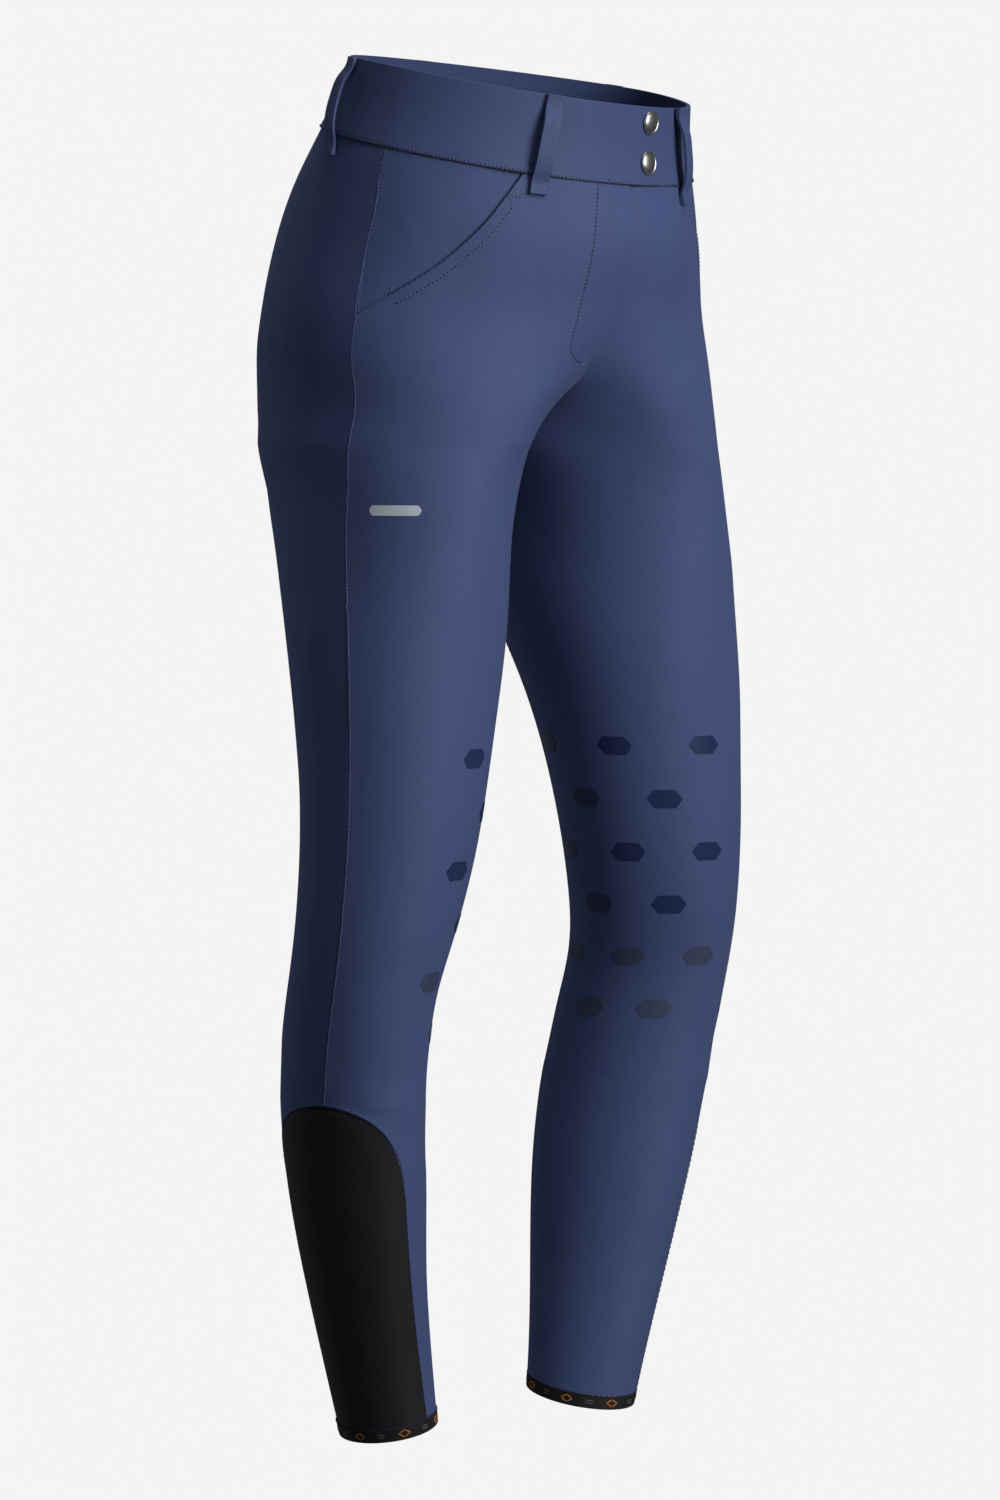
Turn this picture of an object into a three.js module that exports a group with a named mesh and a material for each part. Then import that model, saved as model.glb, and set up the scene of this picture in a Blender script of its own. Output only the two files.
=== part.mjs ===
import * as THREE from 'three';

// Women's riding breeches with a slant pocket at each hip, filled out as worn, with nobody inside.
// Millimetres, +Z up. The wearer faces -Y and the wearer's left is +X.
// The origin is the middle of the waist opening, at half the height of the waistband.

// Cloth and seams
const cloth = 1.4;
const seamGap = 0.3;
const halfGap = seamGap / 2;

// Waistband: a doubled band whose right end laps over its left end as a tab
const bandHeight = 53;
const bandThickness = 2.8;
const bandProud = 0.9;
const bandTop = bandHeight / 2;
const bandBottom = -bandHeight / 2;
const tabReach = 37;
const underlapReach = 16;
const underlapDrop = bandThickness + 0.4;

// Fly: the right front laps over the left one, down to the bottom of the opening
const flyBottom = -171;
const flyReach = 4;
const flyUnder = 10;
const flyDrop = cloth + 1;
const flyFade = 13;

// Slant pocket
const pocketBottom = -140;
const facingUnder = 12;
const facingDrop = cloth + 0.6;

// Calf panel: an arch of stretch cloth let into the outside of the lower leg
const calfTop = -676;
const calfArch = 60;
const calfFrontReach = 68;
const calfBackReach = 72;
const calfWidening = 0.075;

// Hem band
const hemBottom = -911.5;
const hemHeight = 9.5;
const hemTop = hemBottom + hemHeight;
const hemThickness = 2;
const hemProud = 0.5;
const hemSlopes = {
  left: { out: 0, back: 0.16 },
  right: { out: -0.17, back: -0.03 },
};

// Belt loops
const loopWidth = 12;
const loopCloth = 2;
const loopFold = 1.2;

// Snap caps
const snapDiameter = 16.5;
const snapPitch = 27.5;
const snapMiddle = 2.5;
const snapAcross = 23;

const degree = Math.PI / 180;

// The form is a row of rings, given for the left half and mirrored for the right one.
// level: height of the ring at the body's middle. leg, mid: the middle of the ring, out from the
// plane of symmetry and back from the origin. half: half its width. front, back: its depth ahead
// of and behind the middle. turn: degrees that it is turned. bridge: how far out the cloth spans
// flat between the two legs. draw: how far its inner front quarter is drawn in, as a share.
const rings = [
  { level: 26, leg: 0, mid: 1, half: 133, front: 110, back: 88, turn: 0, bridge: 0, draw: 0 },
  { level: -4, leg: 0, mid: 8, half: 139, front: 113, back: 94, turn: 0, bridge: 0, draw: 0 },
  { level: -33, leg: 0, mid: 14, half: 147.5, front: 120, back: 104, turn: 0, bridge: 0, draw: 0 },
  { level: -69, leg: 0, mid: 16, half: 154, front: 124, back: 133, turn: 0, bridge: 0, draw: 0 },
  { level: -98, leg: 8, mid: 20, half: 152, front: 122, back: 142, turn: 0, bridge: 14, draw: 0 },
  { level: -133, leg: 20, mid: 24, half: 150, front: 117, back: 140, turn: 0, bridge: 22, draw: 0 },
  { level: -165, leg: 52, mid: 24, half: 120, front: 112, back: 135, turn: 0, bridge: 16, draw: 0 },
  { level: -201, leg: 78, mid: 20, half: 91, front: 109, back: 129, turn: 0, bridge: 0, draw: 0.09 },
  { level: -231, leg: 87.2, mid: 17, half: 87, front: 104, back: 124, turn: 0, bridge: 0, draw: 0.28 },
  { level: -256, leg: 99, mid: 16, half: 74, front: 100, back: 122, turn: 9, bridge: 0, draw: 0 },
  { level: -296, leg: 104, mid: 16, half: 72, front: 98, back: 111, turn: 13, bridge: 0, draw: -0.04 },
  { level: -341, leg: 108, mid: 8, half: 75, front: 88, back: 97, turn: 16, bridge: 0, draw: 0 },
  { level: -386, leg: 116, mid: 1, half: 72, front: 81, back: 83, turn: 20, bridge: 0, draw: 0 },
  { level: -446, leg: 123, mid: -5, half: 65, front: 72, back: 72, turn: 20, bridge: 0, draw: 0 },
  { level: -506, leg: 130.5, mid: -7, half: 60, front: 66, back: 66, turn: 20, bridge: 0, draw: 0 },
  { level: -566, leg: 139, mid: -1, half: 54, front: 61, back: 61, turn: 20, bridge: 0, draw: 0 },
  { level: -596, leg: 142, mid: 6, half: 50.5, front: 60, back: 60, turn: 20, bridge: 0, draw: 0 },
  { level: -626, leg: 141, mid: 14, half: 49.5, front: 61, back: 61, turn: 20, bridge: 0, draw: 0 },
  { level: -686, leg: 135, mid: 24, half: 48, front: 62.5, back: 62.5, turn: 20, bridge: 0, draw: 0 },
  { level: -746, leg: 126, mid: 29, half: 45.5, front: 59, back: 59, turn: 20, bridge: 0, draw: 0 },
  { level: -806, leg: 116.5, mid: 31, half: 40, front: 52, back: 52, turn: 20, bridge: 0, draw: 0 },
  { level: -866, leg: 105, mid: 30.5, half: 36, front: 44, back: 44, turn: 20, bridge: 0, draw: 0 },
  { level: -920, leg: 94, mid: 30, half: 32.5, front: 39, back: 39, turn: 20, bridge: 0, draw: 0 },
];

// How far a ring is from level. fall, rise: its slope in front and behind. sway: its slope from the
// wearer's left up to the right. hem: its share of the hem's slope.
const slopes = [
  { level: 26, fall: 0.22, rise: 0.16, sway: 0.035, hem: 0 },
  { level: -4, fall: 0.23, rise: 0.18, sway: 0.03, hem: 0 },
  { level: -33, fall: 0.235, rise: 0.21, sway: 0.02, hem: 0 },
  { level: -69, fall: 0.19, rise: 0.19, sway: 0.015, hem: 0 },
  { level: -98, fall: 0.14, rise: 0.14, sway: 0.01, hem: 0 },
  { level: -133, fall: 0.08, rise: 0.08, sway: 0, hem: 0 },
  { level: -165, fall: 0.03, rise: 0.03, sway: 0, hem: 0 },
  { level: -201, fall: 0, rise: 0, sway: 0, hem: 0 },
  { level: -231, fall: 0, rise: 0, sway: 0, hem: 0 },
  { level: -256, fall: 0, rise: 0, sway: 0, hem: 0 },
  { level: -596, fall: 0, rise: 0, sway: 0, hem: 0 },
  { level: -626, fall: 0, rise: 0, sway: 0, hem: 0 },
  { level: -686, fall: 0, rise: 0, sway: 0, hem: 0.15 },
  { level: -746, fall: 0, rise: 0, sway: 0, hem: 0.4 },
  { level: -806, fall: 0, rise: 0, sway: 0, hem: 0.7 },
  { level: -866, fall: 0, rise: 0, sway: 0, hem: 1 },
  { level: -920, fall: 0, rise: 0, sway: 0, hem: 1.15 },
];

// seam, inseam: side seam and inner leg seam, in degrees round from the outside, forward negative.
// twist: how much further round the seams of the wearer's left leg lie, as that foot turns out.
const seamLines = [
  { level: 26, seam: -15, inseam: 180, twist: 0 },
  { level: -4, seam: -15, inseam: 180, twist: 0 },
  { level: -33, seam: -14, inseam: 180, twist: 0 },
  { level: -69, seam: -13.5, inseam: 180, twist: 0 },
  { level: -98, seam: -14.5, inseam: 180, twist: 0 },
  { level: -133, seam: -17, inseam: 180, twist: 0 },
  { level: -165, seam: -17, inseam: 180, twist: 0 },
  { level: -201, seam: -16, inseam: 180, twist: 0 },
  { level: -231, seam: -14.5, inseam: 180, twist: 0 },
  { level: -256, seam: -13, inseam: 168, twist: 1 },
  { level: -296, seam: -13.5, inseam: 151, twist: 4 },
  { level: -341, seam: -16, inseam: 137, twist: 8 },
  { level: -386, seam: -17, inseam: 127, twist: 13 },
  { level: -446, seam: -16, inseam: 118, twist: 21 },
  { level: -506, seam: -15.5, inseam: 111, twist: 28 },
  { level: -566, seam: -17.5, inseam: 107, twist: 33 },
  { level: -596, seam: -19, inseam: 106, twist: 34 },
  { level: -626, seam: -19, inseam: 105, twist: 35 },
  { level: -686, seam: -16, inseam: 104, twist: 36 },
  { level: -746, seam: -15, inseam: 103, twist: 37 },
  { level: -806, seam: -15, inseam: 101, twist: 39 },
  { level: -866, seam: -15, inseam: 98, twist: 42 },
  { level: -920, seam: -15, inseam: 95, twist: 45 },
];

// Where the edge of the pocket opening runs on the front, in degrees forward of the outside.
const pocketEdge = [
  { level: -26, angle: -57 },
  { level: -53, angle: -50 },
  { level: -77, angle: -44 },
  { level: -100, angle: -38 },
  { level: -120, angle: -29 },
  { level: -140, angle: -17.5 },
];

// Height and stand-off of a belt loop, from the top of the waistband down.
const loopLine = [
  { level: 26.5, off: 1.3 },
  { level: 21, off: 1.4 },
  { level: 16, off: 3.6 },
  { level: 9, off: 6.6 },
  { level: 0, off: 7.6 },
  { level: -12, off: 7.6 },
  { level: -22, off: 5.8 },
  { level: -29, off: 2.6 },
  { level: -33, off: 0.7 },
  { level: -40, off: 0.7 },
];

// Outline of half a snap cap, from the centre of its flat back round to the top of its dome.
const snapOutline = [
  { radius: 0, height: 0 },
  { radius: 0.88, height: 0 },
  { radius: 1, height: 0.7 },
  { radius: 0.99, height: 1.5 },
  { radius: 0.93, height: 1.95 },
  { radius: 0.87, height: 1.85 },
  { radius: 0.7, height: 2.15 },
  { radius: 0.4, height: 2.5 },
  { radius: 0, height: 2.65 },
];

const clamp01 = (value) => Math.min(1, Math.max(0, value));
const ease = (value) => {
  const t = clamp01(value);
  return t * t * (3 - 2 * t);
};
const lerp = (from, to, share) => from + (to - from) * share;

// A smooth curve through one column of a table, read at a level.
function read(table, name, level) {
  const last = table.length - 1;
  let i = 0;
  while (i < last - 1 && level < table[i + 1].level) i += 1;
  const slope = (k) => {
    const above = table[Math.max(k - 1, 0)];
    const below = table[Math.min(k + 1, last)];
    return (below[name] - above[name]) / (below.level - above.level);
  };
  const [a, b] = [table[i], table[i + 1]];
  const span = b.level - a.level;
  const t = clamp01((level - a.level) / span);
  const [t2, t3] = [t * t, t * t * t];
  const ends = (2 * t3 - 3 * t2 + 1) * a[name] + (3 * t2 - 2 * t3) * b[name];
  return ends + span * ((t3 - 2 * t2 + t) * slope(i) + (t3 - t2) * slope(i + 1));
}

const columnsOf = (table) => Object.keys(table[0]).filter((name) => name !== 'level');

const ringCache = new Map();
function ringAt(level) {
  if (!ringCache.has(level)) {
    const values = [rings, slopes, seamLines].flatMap((table) =>
      columnsOf(table).map((name) => [name, read(table, name, level)]),
    );
    ringCache.set(level, Object.fromEntries(values));
  }
  return ringCache.get(level);
}

// Depth of a ring at a place across it, and its slope there.
function depthAcross(ring, across, depth) {
  const share = clamp01(1 - ((across - ring.leg) / ring.half) ** 2);
  const root = Math.sqrt(share);
  const slope = (-depth * (across - ring.leg)) / (ring.half ** 2 * Math.max(root, 0.05));
  return { depth: depth * root, slope };
}

// 0 at the middle of a ring, and 1 from a place near its inner end on.
const innerQuarter = (share) => ease(share / 0.8);

// Height of a ring's slope at a place ahead of or behind the middle, rounded where they meet.
function slopeHeight(ring, y) {
  const rounding = 30;
  const bend = Math.hypot(y, rounding) - rounding;
  return ((ring.fall + ring.rise) / 2) * y - ((ring.fall - ring.rise) / 2) * bend;
}

// A point of the form. side is 1 for the wearer's left and -1 for the right. The angle runs
// from the front (-) over the outside (0) to the back (+).
function formPoint(side, angle, level) {
  const ring = ringAt(level);
  const around = (angle + (side > 0 ? ring.twist : 0) - ring.turn) * degree;
  const depth = Math.sin(around) < 0 ? ring.front : ring.back;
  const across = ring.half * Math.cos(around);
  let along = depth * Math.sin(around);
  if (ring.bridge > 0.5 && ring.leg + across < ring.bridge) {
    const edge = depthAcross(ring, ring.bridge, depth);
    const x = ring.leg + across;
    const bridged = edge.depth - (edge.slope * (ring.bridge ** 2 - x ** 2)) / (2 * ring.bridge);
    along = Math.sign(Math.sin(around)) * bridged;
  }
  if (Math.sin(around) < 0) along *= 1 - ring.draw * innerQuarter(-across / ring.half);
  const turn = ring.turn * degree;
  const out = across * Math.cos(turn) - along * Math.sin(turn);
  const back = across * Math.sin(turn) + along * Math.cos(turn);
  const x = side * (ring.leg + out);
  const y = ring.mid + back;
  const slope = side > 0 ? hemSlopes.left : hemSlopes.right;
  const hemRise = ring.hem * (slope.out * out + slope.back * back);
  return new THREE.Vector3(x, y, level + slopeHeight(ring, y) + hemRise - ring.sway * x);
}

// The form's outward normal.
function formNormal(side, angle, level) {
  const turnStep = 0.4;
  const levelStep = 1.5;
  const around = formPoint(side, angle + turnStep, level).sub(formPoint(side, angle - turnStep, level));
  const up = formPoint(side, angle, level + levelStep).sub(formPoint(side, angle, level - levelStep));
  return around.cross(up).multiplyScalar(side).normalize();
}

// A point that lies off the form by lift.
function offForm(side, angle, level, lift) {
  return formPoint(side, angle, level).addScaledVector(formNormal(side, angle, level), lift);
}

// The angle at which a ring comes in to a given distance from the plane of symmetry, in front (-1)
// or behind (1).
function angleAtReach(level, reach, way) {
  let [outer, inner] = [40, 180];
  for (let i = 0; i < 30; i += 1) {
    const middle = (outer + inner) / 2;
    if (formPoint(1, way * middle, level).x > reach) outer = middle;
    else inner = middle;
  }
  return way * inner;
}

// Degrees of a ring that measure so many millimetres, near an angle.
function degreesFor(length, angle, level) {
  return (2 * length) / formPoint(1, angle + 1, level).distanceTo(formPoint(1, angle - 1, level));
}

// A closed wall between a grid of outer points and a grid of inner ones. A ring's rows close on
// themselves. side is 1 for a wall of the left half, and -1 for its mirror image.
function wallGeometry(outer, inner, side, ring = false) {
  const [rows, cols] = [outer.length, outer[0].length];
  const points = [...outer.flat(), ...inner.flat()];
  const index = [];
  const at = (i, j) => i * cols + (j % cols);
  const under = (i, j) => rows * cols + at(i, j);
  const face = (...corners) => {
    const [a, b, c, d] = side > 0 ? corners : corners.reverse();
    const shorter = points[a].distanceTo(points[c]) <= points[b].distanceTo(points[d]);
    index.push(...(shorter ? [a, b, c, a, c, d] : [b, c, d, b, d, a]));
  };
  const spans = ring ? cols : cols - 1;
  for (let j = 0; j < spans; j += 1) {
    for (let i = 0; i < rows - 1; i += 1) {
      face(at(i, j), at(i + 1, j), at(i + 1, j + 1), at(i, j + 1));
      face(under(i, j), under(i, j + 1), under(i + 1, j + 1), under(i + 1, j));
    }
    face(at(0, j), at(0, j + 1), under(0, j + 1), under(0, j));
    face(at(rows - 1, j), under(rows - 1, j), under(rows - 1, j + 1), at(rows - 1, j + 1));
  }
  for (let i = 0; i < rows - 1 && !ring; i += 1) {
    face(at(i, 0), under(i, 0), under(i + 1, 0), at(i + 1, 0));
    face(at(i, cols - 1), at(i + 1, cols - 1), under(i + 1, cols - 1), under(i, cols - 1));
  }
  const geometry = new THREE.BufferGeometry();
  const values = points.flatMap((point) => point.toArray());
  geometry.setAttribute('position', new THREE.Float32BufferAttribute(values, 3));
  geometry.setIndex(index);
  geometry.computeVertexNormals();
  return geometry;
}

const pieces = new THREE.Group();

const finishes = {
  legCloth: new THREE.MeshStandardMaterial({ color: 0x3d4a70, roughness: 0.82, metalness: 0 }),
  bandCloth: new THREE.MeshStandardMaterial({ color: 0x3d4a70, roughness: 0.78, metalness: 0 }),
  stretchCloth: new THREE.MeshStandardMaterial({ color: 0x0c0c0e, roughness: 0.75, metalness: 0 }),
  elastic: new THREE.MeshStandardMaterial({ color: 0x121014, roughness: 0.9, metalness: 0 }),
  snapMetal: new THREE.MeshStandardMaterial({ color: 0x5b6060, roughness: 0.28, metalness: 0.95 }),
};

function addPiece(name, geometry, material) {
  const mesh = new THREE.Mesh(geometry, material);
  mesh.name = name;
  pieces.add(mesh);
  return mesh;
}

// Levels of the rows of a panel, closer together where the form turns faster.
const crotchLevel = rings.find((ring) => ring.leg > ring.half).level;
const hipLevels = [bandBottom - halfGap, -35, -46, -64, -84, -104, -124, pocketBottom];
const seatLevels = [...hipLevels, flyBottom + flyFade, flyBottom, -185, -198, -209, -217, -224];
const thighLevels = [crotchLevel, -241, -258, -284, -320, -360, -404, -450, -498, -540];
const kneeLevels = [-572, -600, -628, -655];
const archSteps = [0, 6, 18, 32, 48, 68, 90];
const archLevels = archSteps.map((step) => calfTop - calfArch * (1 - Math.cos(step * degree)));
const shinLevels = [-770, -806, -840, -874, hemTop + halfGap];
const panelLevels = [...seatLevels, ...thighLevels, ...kneeLevels, ...archLevels, ...shinLevels];

// Half the width of the calf arch at a level, in degrees, on the front or back of the side seam.
function archReach(level, reach) {
  const drop = clamp01((calfTop - level) / calfArch);
  return reach * Math.sqrt(1 - (1 - drop) ** 2) + calfWidening * Math.max(0, calfTop - calfArch - level);
}

const sideSeam = (level) => read(seamLines, 'seam', level);
const inseam = (level) => read(seamLines, 'inseam', level);
const pocketAngle = (level) => read(pocketEdge, 'angle', level);

// Grid of a panel between two edges, each a function of the level that gives an angle. Crowding
// over 1 draws the columns together at the first edge, and under 1 at the last one.
function panel(name, side, levels, cols, crowding, edges, lift, thickness, material) {
  const shares = Array.from({ length: cols + 1 }, (_, j) => (j / cols) ** crowding);
  const outer = [];
  const inner = [];
  levels.forEach((level) => {
    const [from, to] = [edges.from(level), edges.to(level)];
    const angles = shares.map((share) => lerp(from, to, share));
    outer.push(angles.map((angle) => offForm(side, angle, level, lift(angle, level))));
    inner.push(angles.map((angle) => offForm(side, angle, level, lift(angle, level) - thickness)));
  });
  return addPiece(name, wallGeometry(outer, inner, side), material);
}

// Inner edges: the fly and crotch seam down to the crotch, and the inner leg seam below it. That
// seam runs down the back of the leg, so that none crosses the inside of the knee.
function frontInnerEdge(side) {
  const past = side < 0 ? flyReach : flyUnder;
  return (level) => {
    if (level <= crotchLevel) return inseam(level) - 360 + degreesFor(halfGap, inseam(level), level);
    return angleAtReach(level, lerp(halfGap, -past, ease((level - flyBottom - flyFade) / 16)), -1);
  };
}

function backInnerEdge(level) {
  if (level <= crotchLevel) return inseam(level) - degreesFor(halfGap, inseam(level), level);
  return angleAtReach(level, halfGap, 1);
}

// The side edge of a front panel: the pocket opening, then the side seam, then the calf arch.
function frontSideEdge(level) {
  const gap = degreesFor(halfGap, sideSeam(level), level);
  if (level > pocketBottom) return Math.min(pocketAngle(level), sideSeam(level) - gap);
  return sideSeam(level) - gap - archReach(level, calfFrontReach);
}

function backSideEdge(level) {
  return sideSeam(level) + degreesFor(halfGap, sideSeam(level), level) + archReach(level, calfBackReach);
}

// The left front drops under the right one at the fly.
function flyLift(side) {
  return (angle, level) => {
    if (side < 0 || level < flyBottom) return 0;
    const out = formPoint(1, angle, level).x;
    return -flyDrop * (1 - ease((out - flyReach - 2) / 12)) * ease((level - flyBottom) / flyFade);
  };
}

function addFrontPanel(name, side) {
  const edges = { from: frontInnerEdge(side), to: frontSideEdge };
  panel(name, side, panelLevels, 16, 1.2, edges, flyLift(side), cloth, finishes.legCloth);
}

function addBackPanel(name, side) {
  const edges = { from: backSideEdge, to: backInnerEdge };
  panel(name, side, panelLevels, 11, 0.9, edges, () => 0, cloth, finishes.legCloth);
}

// The pocket facing shows between the side seam and the pocket opening, and runs on under the front.
function addPocketFacing(name, side) {
  const levels = [...seatLevels.filter((level) => level > pocketBottom + 2), pocketBottom + 2];
  const edges = {
    from: (level) => pocketAngle(level) - degreesFor(facingUnder, pocketAngle(level), level),
    to: (level) => sideSeam(level) - degreesFor(halfGap, sideSeam(level), level),
  };
  const lift = (angle, level) => {
    const clear = (angle - pocketAngle(level)) / degreesFor(1, angle, level);
    return -facingDrop * (1 - ease((clear - 8) / 24) * ease((level - pocketBottom - 16) / 40));
  };
  panel(name, side, levels, 9, 1, edges, lift, cloth, finishes.legCloth);
}

// The calf panel fills the arch between the front and back panels.
function addCalfPanel(name, side) {
  const levels = [...archLevels.slice(1), ...shinLevels];
  const edge = (level, way, reach) => {
    const raised = level + (level > hemTop + 1 ? seamGap : 0);
    return sideSeam(level) + way * (archReach(raised, reach) - degreesFor(halfGap, 0, level));
  };
  const edges = {
    from: (level) => edge(level, -1, calfFrontReach),
    to: (level) => edge(level, 1, calfBackReach),
  };
  panel(name, side, levels, 12, 1, edges, () => 0, cloth, finishes.stretchCloth);
}

function addHemBand(name, side) {
  const spokes = 36;
  const levels = [hemTop - halfGap, lerp(hemTop, hemBottom, 0.5), hemBottom];
  const angles = Array.from({ length: spokes }, (_, j) => (360 * j) / spokes - 180);
  const ring = (level, lift) => angles.map((angle) => offForm(side, angle, level, lift));
  const outer = levels.map((level) => ring(level, hemProud));
  const inner = levels.map((level) => ring(level, hemProud - hemThickness));
  addPiece(name, wallGeometry(outer, inner, side, true), finishes.elastic);
}

// A point of the waistband, at an angle that runs from the front over the right side, the back and
// the left side.
function bandPoint(round, level, lift) {
  return round <= 90 ? offForm(-1, round, level, lift) : offForm(1, 180 - round, level, lift);
}

function addWaistband() {
  const steps = 66;
  const levels = [bandTop, bandTop / 2, 0, bandBottom / 2, bandBottom + halfGap];
  const drop = (round, level) => {
    const out = formPoint(1, 180 - round, level).x;
    return round > 180 ? underlapDrop * (1 - ease((out - tabReach - 2) / 26)) : 0;
  };
  const row = (level, lift) => {
    const [tab, underlap] = [tabReach, underlapReach].map((reach) => angleAtReach(level, -reach, -1));
    return Array.from({ length: steps + 1 }, (_, j) => {
      const round = lerp(tab, 180 - underlap, j / steps);
      return bandPoint(round, level, lift - drop(round, level));
    });
  };
  const outer = levels.map((level) => row(level, bandProud));
  const inner = levels.map((level) => row(level, bandProud - bandThickness));
  addPiece('waistband', wallGeometry(outer, inner, -1), finishes.bandCloth);
}

// A belt loop hangs from one angle at the top of the waistband to another below it.
function addBeltLoop(name, side, upper, lower) {
  const rows = 16;
  const [top, bottom] = [loopLine[0].level, loopLine.at(-1).level];
  const levels = Array.from({ length: rows + 1 }, (_, i) => lerp(top, bottom, i / rows));
  const angleAt = (level, way) => {
    const middle = lerp(upper, lower, (top - level) / (top - bottom));
    return middle + way * degreesFor(loopWidth / 2, middle, level);
  };
  const grid = (lift) =>
    levels.map((level) => [-1, 0, 1].map((way) => offForm(side, angleAt(level, way), level, lift(level))));
  const off = (level) => read(loopLine, 'off', level);
  const folded = (level) => loopFold * (1 - ease((top - 3 - level) / 4) + ease((bottom + 7 - level) / 3));
  const outer = grid((level) => off(level) + loopCloth + folded(level));
  addPiece(name, wallGeometry(outer, grid(off), side), finishes.bandCloth);
}

function addSnap(name, level) {
  const seat = 0.6;
  const angle = angleAtReach(level, snapAcross, -1);
  const capRadius = snapDiameter / 2;
  const profile = snapOutline.map(({ radius, height }) => new THREE.Vector2(radius * capRadius, height));
  const geometry = new THREE.LatheGeometry(profile, 24);
  geometry.rotateX(Math.PI / 2);
  const cap = addPiece(name, geometry, finishes.snapMetal);
  const normal = formNormal(1, angle, level);
  cap.quaternion.setFromUnitVectors(new THREE.Vector3(0, 0, 1), normal);
  cap.position.copy(offForm(1, angle, level, bandProud + seat));
}

addWaistband();
for (const [word, side] of [['right', -1], ['left', 1]]) {
  addFrontPanel(`${word}_front`, side);
  addBackPanel(`${word}_back`, side);
  addPocketFacing(`${word}_pocket_facing`, side);
  addCalfPanel(`${word}_calf_panel`, side);
  addHemBand(`${word}_hem_band`, side);
  addBeltLoop(`${word}_front_loop`, side, -63, -61);
  addBeltLoop(`${word}_side_loop`, side, 18, 9);
}
addBeltLoop('back_loop', 1, 90, 90);
addSnap('upper_snap', snapMiddle + snapPitch / 2);
addSnap('lower_snap', snapMiddle - snapPitch / 2);

export default pieces;
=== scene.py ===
import math
import bmesh
import bpy
import numpy
from mathutils import Matrix, Vector
from mathutils.bvhtree import BVHTree
from mathutils.geometry import interpolate_bezier


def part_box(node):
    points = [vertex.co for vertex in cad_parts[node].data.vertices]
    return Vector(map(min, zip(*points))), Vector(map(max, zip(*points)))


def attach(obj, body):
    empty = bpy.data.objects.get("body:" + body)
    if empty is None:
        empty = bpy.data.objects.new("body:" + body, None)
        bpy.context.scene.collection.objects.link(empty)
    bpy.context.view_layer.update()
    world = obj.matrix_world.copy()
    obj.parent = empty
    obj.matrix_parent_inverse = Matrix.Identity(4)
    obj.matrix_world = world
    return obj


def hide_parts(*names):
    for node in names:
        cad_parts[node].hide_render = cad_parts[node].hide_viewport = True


# Riding breeches in navy stretch jersey, in the form that they have when worn. The front faces -Y,
# the wearer's left is +X and +Z is up. Sizes are in millimetres, and flat cuts in metres.
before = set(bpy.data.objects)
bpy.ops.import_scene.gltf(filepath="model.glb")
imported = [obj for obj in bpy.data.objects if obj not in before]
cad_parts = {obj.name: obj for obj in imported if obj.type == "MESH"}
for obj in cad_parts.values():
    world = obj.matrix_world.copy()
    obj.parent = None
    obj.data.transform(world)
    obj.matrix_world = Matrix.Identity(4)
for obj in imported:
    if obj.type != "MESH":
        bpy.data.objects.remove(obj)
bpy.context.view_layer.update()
mm = 0.001
up = Vector((0, 0, 1))
sides = {"right": -1, "left": 1}

# The middle of each hollow, at heights down the seat and the leg: how far out and how far back
hollowLine = [
    {"height": 60, "out": 0, "back": 4},
    {"height": -60, "out": 0, "back": 16},
    {"height": -199, "out": 0, "back": 20},
    {"height": -201, "out": 78, "back": 20},
    {"height": -256, "out": 99, "back": 16},
    {"height": -341, "out": 108, "back": 8},
    {"height": -446, "out": 123, "back": -5},
    {"height": -506, "out": 130, "back": -7},
    {"height": -566, "out": 139, "back": -1},
    {"height": -626, "out": 141, "back": 14},
    {"height": -686, "out": 135, "back": 24},
    {"height": -746, "out": 126, "back": 29},
    {"height": -806, "out": 116, "back": 31},
    {"height": -866, "out": 105, "back": 30},
    {"height": -930, "out": 93, "back": 30},
]


def hollowMiddle(point, side=0):
    height = point.z / mm
    below = next((i for i, row in enumerate(hollowLine) if row["height"] <= height), len(hollowLine) - 1)
    low, high = hollowLine[max(below, 1)], hollowLine[max(below, 1) - 1]
    share = min(1, max(0, (height - low["height"]) / (high["height"] - low["height"])))
    out = low["out"] + share * (high["out"] - low["out"])
    back = low["back"] + share * (high["back"] - low["back"])
    way = side or (1 if point.x > 0 else -1)
    return Vector((way * out * mm, back * mm, point.z))


def outwardAt(point):
    return (point - hollowMiddle(point)).normalized()


# Small helpers for nodes
def addNode(tree, kind, values=None, **settings):
    node = tree.nodes.new(kind)
    for name, value in settings.items():
        setattr(node, name, value)
    for socket, value in (values or {}).items():
        node.inputs[socket].default_value = value
    return node


def makeGroup(name, inputs, outputs):
    group = bpy.data.node_groups.new(name, "ShaderNodeTree")
    for label, kind, value in inputs:
        socket = group.interface.new_socket(label, in_out="INPUT", socket_type=kind)
        socket.default_value = value
    for label, kind in outputs:
        group.interface.new_socket(label, in_out="OUTPUT", socket_type=kind)
    return group, group.nodes.new("NodeGroupInput"), group.nodes.new("NodeGroupOutput")


# The face of a fine warp knit: courses across, wales up the leg, and a slow unevenness of shade
knit = {"courseDepth": 0.45, "waleStretch": 0.22, "slowScale": 34.0, "waleShade": 0.55, "waleRoughness": 0.12,
        "depth": 0.00025, "sheenRoughness": 0.45}


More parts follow.
